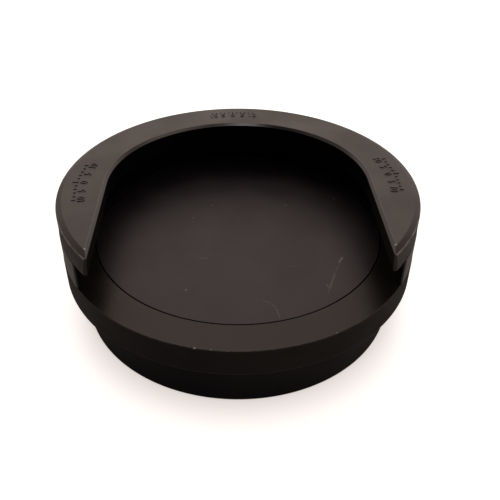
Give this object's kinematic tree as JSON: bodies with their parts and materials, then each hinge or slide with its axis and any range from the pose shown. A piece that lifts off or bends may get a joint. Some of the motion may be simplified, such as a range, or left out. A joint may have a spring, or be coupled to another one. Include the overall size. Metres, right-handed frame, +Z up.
{
  "type": "slide-on blind flange",
  "caption": "Round plastic blanking flange with a spigot below and a horseshoe lip on top that holds a mating pipe flange slid in from the side.",
  "frame": {"origin": "on the flange's axis, at the foot of the spigot", "axes": "+Z up the flange's axis, from the spigot to the lip; -Y out of the slot's mouth, where the mating flange enters"},
  "size_m": [0.1208, 0.1208, 0.0454],
  "materials": {
    "base_plastic": "black-brown moulded plastic, fine matt grain",
    "spigot_plastic": "black moulded plastic, fine matt grain",
    "wall_plastic": "black-brown moulded plastic, smooth satin",
    "lip_plastic": "black-brown moulded plastic, fine matt grain",
    "disc_plastic": "black plastic with a faint violet tint, satin, lightly scratched",
    "seal_rubber": "matt black rubber",
    "ring_steel": "dark spring steel"
  },
  "bodies": {
    "root": {"base_flange": "base_plastic", "spigot": "spigot_plastic", "pocket_wall": "wall_plastic", "lip_plate": "lip_plastic", "blanking_disc": "disc_plastic", "disc_seal": "seal_rubber", "retaining_ring": "ring_steel"}
  },
  "joints": []
}
